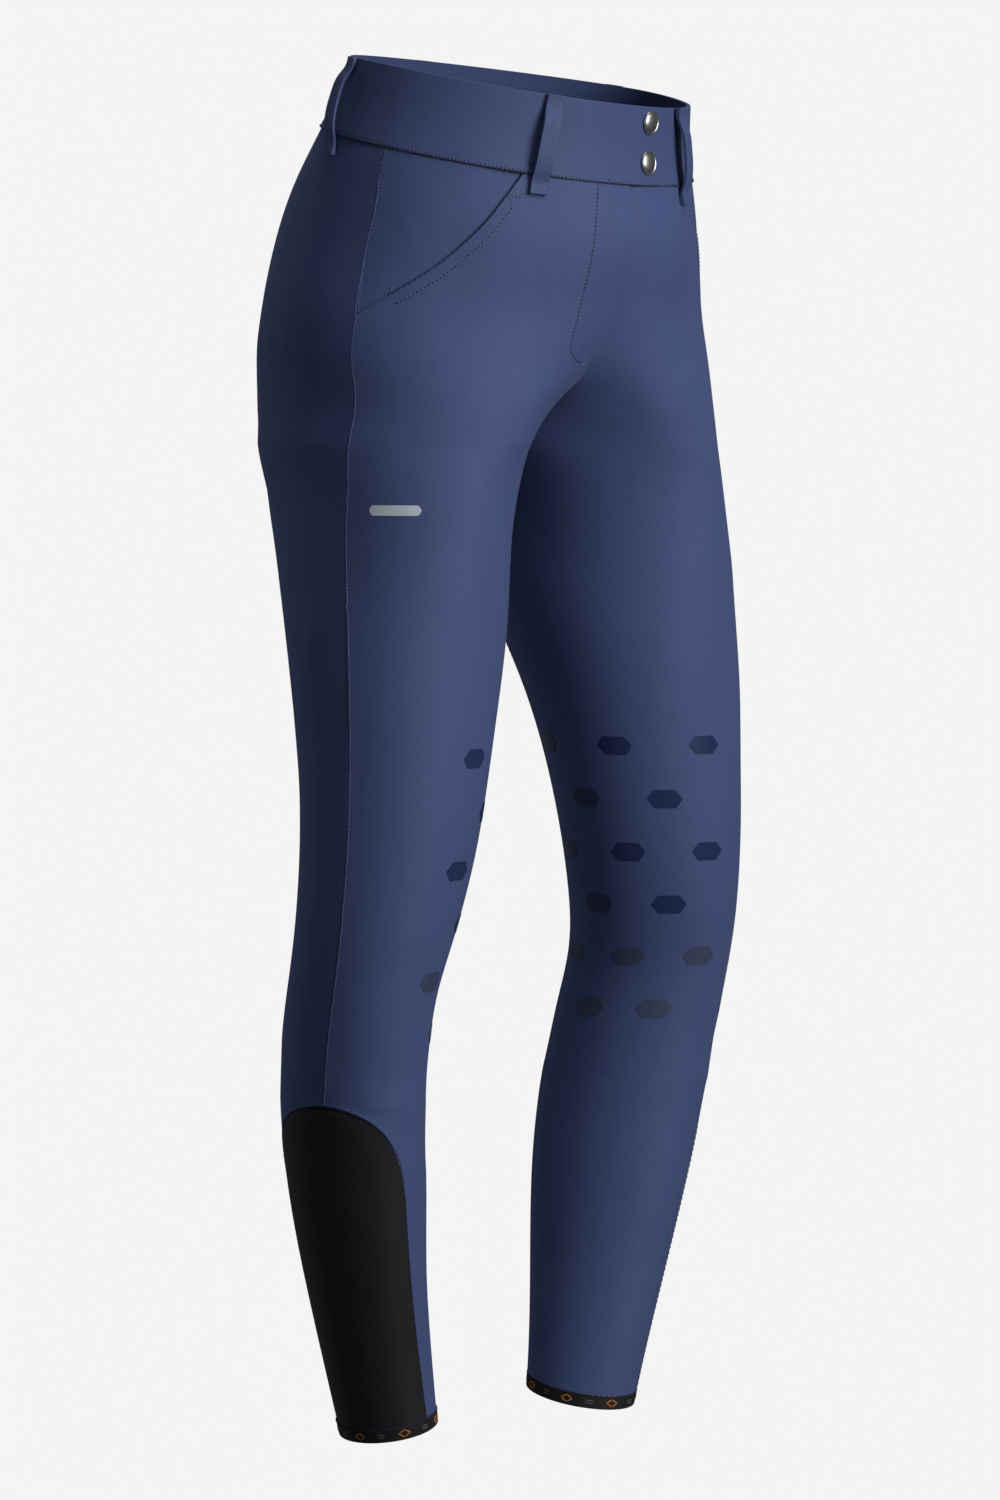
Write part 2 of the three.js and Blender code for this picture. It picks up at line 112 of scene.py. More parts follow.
def buildKnitGroup():
    group, given, result = makeGroup(
        "warpKnit",
        [
            ("Course", "NodeSocketFloat", 300.0),
            ("Wale", "NodeSocketFloat", 900.0),
            ("Unevenness", "NodeSocketFloat", 0.06),
            ("Light Cloth", "NodeSocketColor", (0.06, 0.08, 0.18, 1)),
            ("Dark Cloth", "NodeSocketColor", (0.04, 0.055, 0.13, 1)),
        ],
        [("Color", "NodeSocketColor"), ("Height", "NodeSocketFloat"), ("Roughness Shift", "NodeSocketFloat")],
    )
    link = group.links.new
    place = addNode(group, "ShaderNodeTexCoord")
    course = addNode(group, "ShaderNodeTexWave", {"Distortion": 0.6, "Detail": 1.0, "Detail Scale": 3.0},
                     wave_type="BANDS", bands_direction="Z", wave_profile="SIN")
    link(place.outputs["Object"], course.inputs["Vector"])
    link(given.outputs["Course"], course.inputs["Scale"])
    stretch = addNode(group, "ShaderNodeMapping", {"Scale": (1, 1, knit["waleStretch"])})
    link(place.outputs["Object"], stretch.inputs["Vector"])
    wale = addNode(group, "ShaderNodeTexNoise", {"Detail": 2.0, "Roughness": 0.6})
    link(stretch.outputs["Vector"], wale.inputs["Vector"])
    link(given.outputs["Wale"], wale.inputs["Scale"])
    both = addNode(group, "ShaderNodeMath", operation="MULTIPLY_ADD")
    both.inputs[1].default_value = knit["courseDepth"]
    link(course.outputs["Fac"], both.inputs[0])
    link(wale.outputs["Fac"], both.inputs[2])
    link(both.outputs["Value"], result.inputs["Height"])
    slow = addNode(group, "ShaderNodeTexNoise", {"Scale": knit["slowScale"], "Detail": 3.0})
    link(stretch.outputs["Vector"], slow.inputs["Vector"])
    shade = addNode(group, "ShaderNodeMapRange", {"From Min": 0.3, "From Max": 0.7})
    link(slow.outputs["Fac"], shade.inputs["Value"])
    spread = addNode(group, "ShaderNodeMath", operation="MULTIPLY")
    link(shade.outputs["Result"], spread.inputs[0])
    link(given.outputs["Unevenness"], spread.inputs[1])
    fine = addNode(group, "ShaderNodeMath", operation="MULTIPLY_ADD")
    fine.inputs[1].default_value = knit["waleShade"]
    link(wale.outputs["Fac"], fine.inputs[0])
    link(spread.outputs["Value"], fine.inputs[2])
    mix = addNode(group, "ShaderNodeMix", data_type="RGBA")
    link(fine.outputs["Value"], mix.inputs["Factor"])
    link(given.outputs["Dark Cloth"], mix.inputs["A"])
    link(given.outputs["Light Cloth"], mix.inputs["B"])
    link(mix.outputs["Result"], result.inputs["Color"])
    rough = addNode(group, "ShaderNodeMath", operation="MULTIPLY")
    rough.inputs[1].default_value = knit["waleRoughness"]
    link(wale.outputs["Fac"], rough.inputs[0])
    link(rough.outputs["Value"], result.inputs["Roughness Shift"])
    return group


def makeMaterial(name, **values):
    material = bpy.data.materials.new(name)
    material.use_nodes = True
    shader = material.node_tree.nodes["Principled BSDF"]
    for socket, value in values.items():
        shader.inputs[socket.replace("_", " ")].default_value = value
    return material, material.node_tree, shader


def clothMaterial(name, look):
    material, tree, shader = makeMaterial(
        name, Sheen_Weight=look["sheen"], Sheen_Roughness=knit["sheenRoughness"],
        Sheen_Tint=look["sheenTint"], Specular_IOR_Level=look["gloss"])
    face = addNode(tree, "ShaderNodeGroup", node_tree=knitGroup)
    for socket in ("Course", "Wale", "Unevenness"):
        face.inputs[socket].default_value = look[socket.lower()]
    face.inputs["Light Cloth"].default_value = (*look["light"], 1)
    face.inputs["Dark Cloth"].default_value = (*look["dark"], 1)
    link = tree.links.new
    link(face.outputs["Color"], shader.inputs["Base Color"])
    bump = addNode(tree, "ShaderNodeBump", {"Strength": look["bump"], "Distance": knit["depth"]})
    link(face.outputs["Height"], bump.inputs["Height"])
    link(bump.outputs["Normal"], shader.inputs["Normal"])
    rough = addNode(tree, "ShaderNodeMath", operation="ADD")
    rough.inputs[1].default_value = look["rough"]
    link(face.outputs["Roughness Shift"], rough.inputs[0])
    link(rough.outputs["Value"], shader.inputs["Roughness"])
    return material


clothLooks = {
    "legCloth": {"light": (0.064, 0.094, 0.228), "dark": (0.046, 0.069, 0.177), "course": 330, "wale": 900,
                 "unevenness": 0.25, "bump": 0.35, "rough": 0.6, "gloss": 0.22, "sheen": 0.09,
                 "sheenTint": (0.6, 0.72, 1, 1)},
    "bandCloth": {"light": (0.059, 0.087, 0.211), "dark": (0.043, 0.064, 0.164), "course": 330, "wale": 900,
                  "unevenness": 0.2, "bump": 0.3, "rough": 0.58, "gloss": 0.24, "sheen": 0.09,
                  "sheenTint": (0.6, 0.72, 1, 1)},
    "stretchCloth": {"light": (0.0128, 0.0118, 0.0158), "dark": (0.0078, 0.0070, 0.0100), "course": 260,
                     "wale": 1100, "unevenness": 0.3, "bump": 0.5, "rough": 0.5, "gloss": 0.3,
                     "sheen": 0.05, "sheenTint": (0.9, 0.92, 1, 1)},
    "elastic": {"light": (0.010, 0.010, 0.012), "dark": (0.005, 0.005, 0.006), "course": 190, "wale": 1400,
                "unevenness": 0.1, "bump": 0.8, "rough": 0.62, "gloss": 0.3, "sheen": 0.05,
                "sheenTint": (1, 1, 1, 1)},
}
knitGroup = buildKnitGroup()
materials = {name: clothMaterial(name, look) for name, look in clothLooks.items()}


# A finish of one colour, a little uneven in shade and height
grainLook = {"spread": 0.18, "bump": 0.25, "depth": 0.0001}


def plainMaterial(name, colour, rough, grain, **values):
    material, tree, shader = makeMaterial(name, Roughness=rough, **values)
    place = addNode(tree, "ShaderNodeTexCoord")
    noise = addNode(tree, "ShaderNodeTexNoise", {"Scale": grain, "Detail": 3.0})
    ramp = addNode(tree, "ShaderNodeMix", data_type="RGBA")
    ramp.inputs["A"].default_value = (*[c * (1 - grainLook["spread"]) for c in colour], 1)
    ramp.inputs["B"].default_value = (*[min(1, c * (1 + grainLook["spread"])) for c in colour], 1)
    bump = addNode(tree, "ShaderNodeBump", {"Strength": grainLook["bump"], "Distance": grainLook["depth"]})
    link = tree.links.new
    link(place.outputs["Object"], noise.inputs["Vector"])
    link(noise.outputs["Fac"], ramp.inputs["Factor"])
    link(ramp.outputs["Result"], shader.inputs["Base Color"])
    link(noise.outputs["Fac"], bump.inputs["Height"])
    link(bump.outputs["Normal"], shader.inputs["Normal"])
    return material


materials["thread"] = plainMaterial("thread", (0.115, 0.155, 0.32), 0.5, 2600, Specular_IOR_Level=0.4)
# A bed under the stitches, darker than the cloth: painted shade of the groove that the thread presses in
materials["stitchBedShade"] = plainMaterial("stitchBedShade", (0.028, 0.042, 0.110), 0.8, 2000)
# Near black: the painted shade inside each needle hole and down each seam
materials["holeAndSeamShade"] = plainMaterial("holeAndSeamShade", (0.008, 0.011, 0.028), 0.9, 2000)
materials["silicone"] = plainMaterial("silicone", (0.012, 0.026, 0.088), 0.3, 900,
                                      Coat_Weight=0.35, Coat_Roughness=0.2, Specular_IOR_Level=0.4)
# A paler, duller, greyer silicone for the lower rows of the grip print
materials["paleSilicone"] = plainMaterial("paleSilicone", (0.038, 0.053, 0.104), 0.5, 900)
materials["film"] = plainMaterial("film", (0.50, 0.57, 0.64), 0.42, 1500, Specular_IOR_Level=0.5)
materials["orangeYarn"] = plainMaterial("orangeYarn", (0.62, 0.23, 0.035), 0.6, 3000)
materials["greyYarn"] = plainMaterial("greyYarn", (0.085, 0.085, 0.095), 0.7, 3000)
materials["snapMetal"] = plainMaterial("snapMetal", (0.46, 0.47, 0.45), 0.34, 500, Metallic=1.0)
print("materials ready")


# Meshes of the cloth. Angles are in degrees: an edge is a rim of the wall over sharpOver, and is
# shaded sharp over shadeOver.
clothMesh = {"weld": 0.01, "sharpOver": 50, "shadeOver": 38, "quadFace": 40, "quadShape": 70, "levels": 2,
             "rimFacing": 0.55, "rollSegments": 3}


def mergedCopy(name):
    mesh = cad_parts[name].data.copy()
    for label in ("custom_normal", "sharp_face", "sharp_edge"):
        if label in mesh.attributes:
            mesh.attributes.remove(mesh.attributes[label])
    bm = bmesh.new()
    bm.from_mesh(mesh)
    bpy.data.meshes.remove(mesh)
    bmesh.ops.remove_doubles(bm, verts=bm.verts[:], dist=clothMesh["weld"] * mm)
    bm.normal_update()
    return bm


def isSharp(edge):
    return len(edge.link_faces) == 2 and edge.calc_face_angle() > math.radians(clothMesh["sharpOver"])


def objectFrom(bm, name, *materialNames):
    mesh = bpy.data.meshes.new(name)
    bm.to_mesh(mesh)
    bm.free()
    for face in mesh.polygons:
        face.use_smooth = True
    mesh.set_sharp_from_angle(angle=math.radians(clothMesh["shadeOver"]))
    piece = bpy.data.objects.new(name, mesh)
    bpy.context.scene.collection.objects.link(piece)
    for materialName in materialNames:
        mesh.materials.append(materials[materialName])
    return piece


def subdivided(bm):
    # Catmull-Clark with the rims of the wall held sharp
    bmesh.ops.join_triangles(bm, faces=bm.faces[:],
                             angle_face_threshold=math.radians(clothMesh["quadFace"]),
                             angle_shape_threshold=math.radians(clothMesh["quadShape"]))
    crease = bm.edges.layers.float.new("crease_edge")
    for edge in bm.edges:
        edge[crease] = 1.0 if isSharp(edge) else 0.0
    holder = objectFrom(bm, "holder")
    modifier = holder.modifiers.new("smooth", "SUBSURF")
    modifier.levels = modifier.render_levels = clothMesh["levels"]
    made = bmesh.new()
    made.from_object(holder, bpy.context.evaluated_depsgraph_get())
    bpy.data.objects.remove(holder)
    layer = made.edges.layers.float.get("crease_edge")
    if layer:
        made.edges.layers.float.remove(layer)
    made.normal_update()
    return made


def isOuterRim(edge):
    return isSharp(edge) and any(
        face.normal.dot(outwardAt(face.calc_center_median())) > clothMesh["rimFacing"]
        for face in edge.link_faces)


def roundRims(bm, radius):
    # rolls the outer edge of a wall over, as a seam or a fold does
    rims = [edge for edge in bm.edges if isOuterRim(edge)]
    bmesh.ops.bevel(bm, geom=rims, offset=radius * mm, segments=clothMesh["rollSegments"], profile=0.5,
                    affect="EDGES", material=-1, clamp_overlap=True)


def nearestOnPath(point, path):
    best = (1e9, 0)
    for i in range(len(path) - 1):
        a, b = path[i], path[i + 1]
        along = b - a
        share = min(1, max(0, (point - a).dot(along) / along.length_squared))
        gap = (a + along * share - point).length
        if gap < best[0]:
            best = (gap, (i + share) / (len(path) - 1))
    return best


# Soft creases: a path over the cloth, how wide they are, and how far they sink in. They fade out at
# both ends and past a few widths.
folds = {
    "right_front": [
        {"path": [(-6, -66, -190), (-24, -72, -201), (-48, -76, -206)], "width": 8, "depth": -0.9},
        {"path": [(-150, -60, -560), (-165, -52, -585), (-182, -30, -600)], "width": 10, "depth": -0.9},
    ],
    "left_front": [
        {"path": [(6, -66, -190), (24, -72, -202), (46, -76, -208)], "width": 8, "depth": -0.9},
    ],
    "right_back": [
        {"path": [(-118, 66, -566), (-146, 72, -574), (-172, 60, -568)], "width": 8, "depth": -1.8},
        {"path": [(-116, 70, -602), (-142, 78, -612), (-170, 68, -604)], "width": 9, "depth": -1.5},
        {"path": [(-22, 128, -238), (-60, 136, -250), (-98, 130, -246)], "width": 15, "depth": -1.3},
    ],
    "left_back": [
        {"path": [(118, 66, -570), (146, 72, -578), (172, 60, -572)], "width": 8, "depth": -1.7},
        {"path": [(116, 70, -606), (142, 78, -616), (170, 68, -608)], "width": 9, "depth": -1.5},
        {"path": [(22, 128, -241), (60, 136, -254), (98, 130, -249)], "width": 15, "depth": -1.2},
    ],
}

foldFade = {"reach": 3, "ends": 0.8}


def pressFolds(bm, name):
    for fold in folds.get(name, []):
        path = [Vector(corner) * mm for corner in fold["path"]]
        width, depth = fold["width"] * mm, fold["depth"] * mm
        for vert in bm.verts:
            gap, share = nearestOnPath(vert.co, path)
            if gap < foldFade["reach"] * width:
                ends = math.sin(math.pi * min(1, max(0, share))) ** foldFade["ends"]
                vert.co += outwardAt(vert.co) * depth * math.exp(-((gap / width) ** 2)) * ends
    bm.normal_update()


# Each kind of cut piece: its finish, how far its edges roll over, and the flat piece it was cut from.
# The flat sizes are estimates. The backs are really about 0.34 m wide, and the loops 0.072 m long.
cuts = {
    "waistband": {"finish": "bandCloth", "slot": "band_cloth", "roll": 1.1, "flat": (0.85, 0.053)},
    "front": {"finish": "legCloth", "slot": "leg_cloth", "roll": 0.7, "flat": (0.30, 0.90), "area": 0.18},
    "back": {"finish": "legCloth", "slot": "leg_cloth", "roll": 0.7, "flat": (0.28, 0.91), "area": 0.15},
    "pocket_facing": {"finish": "legCloth", "slot": "leg_cloth", "roll": 0.6, "flat": (0.10, 0.12),
                      "area": 0.008},
    "calf_panel": {"finish": "stretchCloth", "slot": "stretch_cloth", "roll": 0.6, "flat": (0.14, 0.23),
                   "area": 0.03},
    "hem_band": {"finish": "elastic", "slot": "elastic", "roll": 0.6, "flat": (0.225, 0.0105)},
    "loop": {"finish": "bandCloth", "slot": "band_cloth", "roll": 0.6, "flat": (0.012, 0.086)},
}
loopPlaces = ("right_front", "left_front", "right_side", "left_side", "back")
clothPieces = {"waistband": cuts["waistband"]}
for kind in ("front", "back", "pocket_facing", "calf_panel", "hem_band"):
    clothPieces |= {f"{word}_{kind}": cuts[kind] for word in sides}
clothPieces |= {f"{place}_loop": cuts["loop"] for place in loopPlaces}

# At the top of a calf arch the rows of the cut crowd together, and under the crotch the left thigh's
# front shows a hollow. Both are eased out; the rims of the cut stay where they are.
crowdedRows = {"low": -700, "high": -655, "thinnest": 0.8}
easedBands = {
    "calfArch": {"heights": (-745, -705, -660, -636), "rounds": 25},
    "thigh": {"heights": (-315, -265, -200, -165), "rounds": 60},
}
easingStep = 0.6


def clearCrowdedRows(bm):
    near = [edge for edge in bm.edges
            if all(crowdedRows["low"] < vert.co.z / mm < crowdedRows["high"] for vert in edge.verts)]
    bmesh.ops.dissolve_degenerate(bm, dist=crowdedRows["thinnest"] * mm, edges=near)
    bm.normal_update()


def easeCloth(bm, band):
    bm.verts.index_update()
    points = numpy.array([vert.co for vert in bm.verts])
    ends = numpy.array([[vert.index for vert in edge.verts] for edge in bm.edges])
    weight = numpy.interp(points[:, 2] / mm, band["heights"], (0, 1, 1, 0))
    for edge in bm.edges:
        if isSharp(edge):
            weight[[vert.index for vert in edge.verts]] = 0
    count = numpy.bincount(ends.ravel(), minlength=len(points))[:, None]
    for _ in range(band["rounds"]):
        total = numpy.zeros_like(points)
        for axis in range(3):
            total[:, axis] = (numpy.bincount(ends[:, 0], points[ends[:, 1], axis], len(points))
                              + numpy.bincount(ends[:, 1], points[ends[:, 0], axis], len(points)))
        points += easingStep * weight[:, None] * (total / count - points)
    for vert, point in zip(bm.verts, points):
        vert.co = point
    bm.normal_update()


def makeCloth(name, cut):
    bm = mergedCopy(name)
    onArch = name.endswith(("_front", "_back", "_calf_panel"))
    if onArch:
        clearCrowdedRows(bm)
    bm = subdivided(bm)
    if onArch:
        easeCloth(bm, easedBands["calfArch"])
    if name == "left_front":
        easeCloth(bm, easedBands["thigh"])
    pressFolds(bm, name)
    roundRims(bm, cut["roll"])
    piece = objectFrom(bm, name + "_cloth", cut["finish"])
    byArea = piece.modifiers.new("byArea", "WEIGHTED_NORMAL")
    byArea.keep_sharp = True
    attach(piece, "root")
    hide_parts(name)
    return piece


cloth = {name: makeCloth(name, cut) for name, cut in clothPieces.items()}
print("cloth pieces ready")


# Finding places on the cloth
def treeOf(*pieces):
    points, faces = [], []
    for piece in pieces:
        start = len(points)
        points += [vert.co.copy() for vert in piece.data.vertices]
        faces += [[start + i for i in face.vertices] for face in piece.data.polygons]
    return BVHTree.FromPolygons(points, faces)


skin = treeOf(*[piece for name, piece in cloth.items() if not name.endswith("_loop")])
legSkin = {side: treeOf(*[cloth[f"{word}_{part}"] for part in ("front", "back", "calf_panel")])
           for word, side in sides.items()}
# How far off a cast starts, how far it reaches over the skin, and how finely a curve is cut
finding = {"cast": 150, "frontCast": 300, "reach": 12, "probe": 5, "facing": 0.7, "curveParts": 16}


def castOn(tree, start, way):
    place, normal, _, _ = tree.ray_cast(start, way)
    if place is None:
        raise ValueError(f"nothing under {tuple(round(c / mm) for c in start)}")
    return place, (normal if normal.dot(way) < 0 else -normal)


def layOn(tree, point):
    # drops a point on the outside of the cloth, from straight out; over a seam it stays where it is
    way, reach = outwardAt(point), finding["reach"] * mm
    place, normal, _, _ = tree.ray_cast(point + way * reach, -way, 2 * reach)
    if place is None:
        return point, way
    return place, (normal if normal.dot(way) > 0 else -normal)


def onLeg(side, bearing, height):
    # bearing: degrees from straight out, forward negative
    middle = hollowMiddle(Vector((side, 0, height * mm)), side)
    turn = math.radians(bearing)
    way = Vector((side * math.cos(turn), math.sin(turn), 0))
    return castOn(legSkin[side], middle + way * finding["cast"] * mm, -way)


def evenPoints(corners, step):
    # even steps along a smooth line through the corners
    fine, last = [], len(corners) - 1
    for i in range(last):
        a, b = corners[i], corners[i + 1]
        before = corners[i - 1] if i else a - (b - a)
        after = corners[i + 2] if i + 2 <= last else b + (b - a)
        handles = a + (b - before) / 6, b - (after - a) / 6
        fine += interpolate_bezier(a, *handles, b, finding["curveParts"])[:-1]
    fine.append(corners[-1])
    length = sum((fine[i + 1] - fine[i]).length for i in range(len(fine) - 1))
    count = max(1, round(length / step))
    out, travelled, i = [fine[0].copy()], 0.0, 0
    for k in range(1, count):
        target = length * k / count
        while travelled + (fine[i + 1] - fine[i]).length < target:
            travelled += (fine[i + 1] - fine[i]).length
            i += 1
        part = fine[i + 1] - fine[i]
        out.append(fine[i] + part * ((target - travelled) / part.length))
    out.append(fine[-1].copy())
    return out


def rimPaths(name, neighbour=None, reach=1.0, facing=None):
    # the outer edges of a piece, in order, where they meet its neighbour or face one way
    bm = mergedCopy(name)
    tree = treeOf(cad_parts[neighbour]) if neighbour else None
    links = {}
    for edge in bm.edges:
        if not isOuterRim(edge):
            continue
        if tree and any(tree.find_nearest(vert.co, reach * mm)[0] is None for vert in edge.verts):
            continue
        if facing and max(face.normal.dot(facing) for face in edge.link_faces) < finding["facing"]:
            continue
        for vert in edge.verts:
            links.setdefault(vert, []).append(edge.other_vert(vert))
    paths, seen = [], set()
    starts = [vert for vert in links if len(links[vert]) == 1] + list(links)
    for start in starts:
        if start in seen:
            continue
        path, vert = [], start
        while vert and vert not in seen:
            seen.add(vert)
            path.append(vert.co.copy())
            vert = next((other for other in links[vert] if other not in seen), None)
        if len(path) > 2:
            paths.append(path)
    bm.free()
    paths.sort(key=lambda path: -sum((b - a).length for a, b in zip(path, path[1:])))
    return paths


def shifted(tree, points, offset):
    # the same line, moved sideways over the cloth and into the piece
    middle = len(points) // 2
    normal = outwardAt(points[middle])
    across = normal.cross(points[middle + 1] - points[middle]).normalized() * finding["probe"] * mm
    gaps = [tree.find_nearest(points[middle] + across * way)[3] for way in (1, -1)]
    offset = offset if gaps[0] < gaps[1] else -offset
    laid = []
    for i, point in enumerate(points):
        place, normal = layOn(tree, point)
        along = points[min(i + 1, len(points) - 1)] - points[max(i - 1, 0)]
        across = normal.cross(along).normalized()
        laid.append(layOn(tree, place + across * offset * mm)[0])
    return laid


# Sewing: each stitch is a short round bar of thread, some in a bed of painted shade, for the groove it
# presses in, with a needle hole at the end, whose darkness is painted shade. Beds and holes are long, wide
# and thick by these shares and sizes. The dark look has the same thread, darkened by wider beds and holes.
stitchLooks = {
    "top": {"step": 3.1, "length": 2.1, "width": 0.65, "proud": 0.22, "hole": 0.95, "bed": 1.2},
    "fine": {"step": 2.6, "length": 2.2, "width": 0.55, "proud": 0.16, "hole": 0.0, "bed": 0.0},
    "dark": {"step": 2.8, "length": 1.5, "width": 0.4, "proud": 0.12, "hole": 1.15, "bed": 1.3},
}
stitchForm = {"flatness": 0.8, "bedLength": 1.6, "bedThick": 0.16, "holeLength": 1.8, "holeWidth": 1.4,
              "holeThick": 0.12, "holeProud": 0.01, "around": 6, "rings": 4}
stitchFinishes = ("thread", "holeAndSeamShade", "stitchBedShade")


def appendTo(target, run):
    mesh = bpy.data.meshes.new("run")
    run.to_mesh(mesh)
    run.free()
    target.from_mesh(mesh)
    bpy.data.meshes.remove(mesh)


def addStitch(target, place, along, normal, length, width, height, finish=0):
    side = normal.cross(along).normalized()
    along = side.cross(normal).normalized()
    turn = Matrix((along, side, normal)).transposed().to_4x4()
    size = Matrix.Diagonal((length / 2 * mm, width / 2 * mm, height / 2 * mm, 1))
    bead = bmesh.new()
    bmesh.ops.create_uvsphere(bead, u_segments=stitchForm["around"], v_segments=stitchForm["rings"], radius=1,
                              matrix=Matrix.Translation(place) @ turn @ size
                              @ Matrix.Rotation(math.pi / 2, 4, "Y"))
    for face in bead.faces:
        face.material_index = finish
    appendTo(target, bead)


def sew(target, tree, corners, look, offset=0.0, trim=0.0):
    values = stitchLooks[look]
    line = evenPoints(corners, values["step"] * mm)
    if offset:
        line = evenPoints(shifted(tree, line, offset), values["step"] * mm)
    skip = int(trim / values["step"])
    line = line[skip:len(line) - skip]
    run = bmesh.new()
    for a, b in zip(line, line[1:]):
        place, normal = layOn(tree, (a + b) / 2)
        addStitch(run, place + normal * values["proud"] * mm, b - a, normal,
                  values["length"], values["width"], values["width"] * stitchForm["flatness"])
        # painted shade: a dark bed under the stitch, and a dark needle hole at its end
        if values["bed"]:
            addStitch(run, place, b - a, normal, values["step"] * stitchForm["bedLength"],
                      values["bed"], stitchForm["bedThick"], 2)
        if values["hole"]:
            end, endNormal = layOn(tree, b)
            addStitch(run, end + endNormal * stitchForm["holeProud"] * mm, b - a, endNormal,
                      values["hole"] * stitchForm["holeLength"], values["hole"] * stitchForm["holeWidth"],
                      stitchForm["holeThick"], 1)
    appendTo(target, run)


# A bartack is a short zigzag that locks the end of an opening
tack = {"bars": 14, "width": 1.8, "lean": 0.25, "proud": 0.25, "thread": (0.42, 0.5)}


def bartack(target, tree, start, end):
    for i in range(tack["bars"]):
        place, normal = layOn(tree, start.lerp(end, (i + 0.5) / tack["bars"]))
        across = normal.cross(end - start).normalized()
        lean = (end - start).normalized() * (tack["lean"] if i % 2 else -tack["lean"])
        addStitch(target, place + normal * tack["proud"] * mm, across + lean, normal,
                  tack["width"], *tack["thread"])


def finishPiece(bm, name, slot, *materialNames):
    piece = objectFrom(bm, name, *materialNames)
    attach(piece, "root")
    return piece


# How far each line of sewing lies from its edge, and how far it stops short of its ends
sewing = {"waist": {"look": "dark", "offset": 2.6}, "side": {"look": "fine", "offset": 1.1},
          "pocket": {"look": "top", "offset": 8.0, "trim": 2}, "pocketReach": 2.6,
          "pocketTack": (-1, 6), "loopInset": 2.6, "loopEnds": 4, "flyTack": ((-3.5, 0, 0), (3.5, 0, -1))}


def sewWaist():
    bm = bmesh.new()
    sew(bm, treeOf(cloth["waistband"]), rimPaths("waistband", facing=-up)[0], **sewing["waist"])
    return finishPiece(bm, "waist_topstitch", "thread", *stitchFinishes)


def sewSides():
    bm = bmesh.new()
    for word in sides:
        seam = max(rimPaths(f"{word}_front", f"{word}_back"),
                   key=lambda path: abs(sum(point.x for point in path) / len(path)))
        above = rimPaths(f"{word}_pocket_facing", f"{word}_back")[0]
        for piece, path in ((f"{word}_pocket_facing", above), (f"{word}_front", seam)):
            path.sort(key=lambda point: -point.z)
            sew(bm, treeOf(cloth[piece]), path, **sewing["side"])
    return finishPiece(bm, "side_seam_stitch", "thread", *stitchFinishes)


def sewPockets():
    bm = bmesh.new()
    for word in sides:
        mouth = rimPaths(f"{word}_front", f"{word}_pocket_facing", sewing["pocketReach"])[0]
        mouth.sort(key=lambda point: -point.z)
        sew(bm, treeOf(cloth[f"{word}_front"]), mouth, **sewing["pocket"])
        bartack(bm, skin, *[mouth[-1] + up * rise * mm for rise in sewing["pocketTack"]])
    return finishPiece(bm, "pocket_topstitch", "thread", *stitchFinishes)


# The curved stitch that holds the fly shield, by how far across and how high
flyStitch = [(-25.4, -52), (-29, -78), (-31.2, -110), (-33, -137), (-35.4, -157), (-34, -165),
             (-27, -170), (-15, -173)]


def sewFly():
    bm = bmesh.new()
    tree = treeOf(cloth["right_front"])
    line = [castOn(tree, Vector((x, -finding["frontCast"], z)) * mm, Vector((0, 1, 0)))[0]
            for x, z in flyStitch]
    sew(bm, tree, line, "dark")
    bartack(bm, tree, *[line[-1] + Vector(shift) * mm for shift in sewing["flyTack"]])
    return finishPiece(bm, "fly_stitch", "thread", *stitchFinishes)


def sewLoops():
    bm = bmesh.new()
    for place in loopPlaces:
        name = f"{place}_loop"
        tree = treeOf(cloth[name])
        low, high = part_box(name)
        middle = (low + high) / 2
        across = outwardAt(middle).cross(up)
        margin = sewing["loopEnds"] * mm
        edges = [point for point in rimPaths(name)[0] if low.z + margin < point.z < high.z - margin]
        for way in (-1, 1):
            row = sorted([point for point in edges if (point - middle).dot(across) * way > 0],
                         key=lambda point: -point.z)
            if len(row) > 3:
                sew(bm, tree, [point - across * way * sewing["loopInset"] * mm for point in row], "fine")
    return finishPiece(bm, "loop_stitch", "thread", *stitchFinishes)


# Painted shade down in each seam, where two edges meet: short dark beads that overlap
shadeForm = {"step": 4, "deep": 0.45, "overlap": 1.5, "thick": 0.9}
seamShades = [
    {"piece": "waistband", "facing": -up, "width": 0.9},
    {"piece": "{word}_front", "meets": "{word}_back", "width": 0.55},
    {"piece": "{word}_front", "meets": "{word}_pocket_facing", "reach": 2.6, "width": 0.9},
    {"piece": "{word}_pocket_facing", "meets": "{word}_back", "width": 0.6},
    {"piece": "{word}_calf_panel", "meets": "{word}_front", "width": 0.5},
    {"piece": "{word}_calf_panel", "meets": "{word}_back", "width": 0.5},
    {"piece": "right_back", "meets": "left_back", "width": 0.5},
    {"piece": "{word}_hem_band", "facing": up, "width": 0.9},
]


def shadeSeams():
    bm = bmesh.new()
    for seam in seamShades:
        for word in sides if "{" in seam["piece"] else ("right",):
            meets = seam["meets"].format(word=word) if "meets" in seam else None
            paths = rimPaths(seam["piece"].format(word=word), meets,
                             seam.get("reach", 1.0), seam.get("facing"))
            for path in paths:
                run = bmesh.new()
                line = evenPoints(path, shadeForm["step"] * mm)
                for a, b in zip(line, line[1:]):
                    normal = outwardAt(a)
                    addStitch(run, (a + b) / 2 - normal * shadeForm["deep"] * mm, b - a, normal,
                              (b - a).length / mm * shadeForm["overlap"], seam["width"], shadeForm["thick"])
                appendTo(bm, run)
    return finishPiece(bm, "seam_shade", "thread", "holeAndSeamShade")


for sewPart in (sewWaist, sewSides, sewPockets, sewFly, sewLoops, shadeSeams):
    sewPart()
print("sewing ready")


# Snap caps: half an outline, from the rim in to the middle of the dome
snapCap = {
    "outline": [(8.1, 0), (8.3, 0.4), (8.25, 0.9), (7.9, 1.3), (7.45, 1.35), (7.1, 1.1), (6.9, 1.05),
                (6.6, 1.35), (5.6, 1.85), (4.2, 2.3), (2.4, 2.65), (0, 2.8)],
    "steps": 64, "proud": 0.3,
}


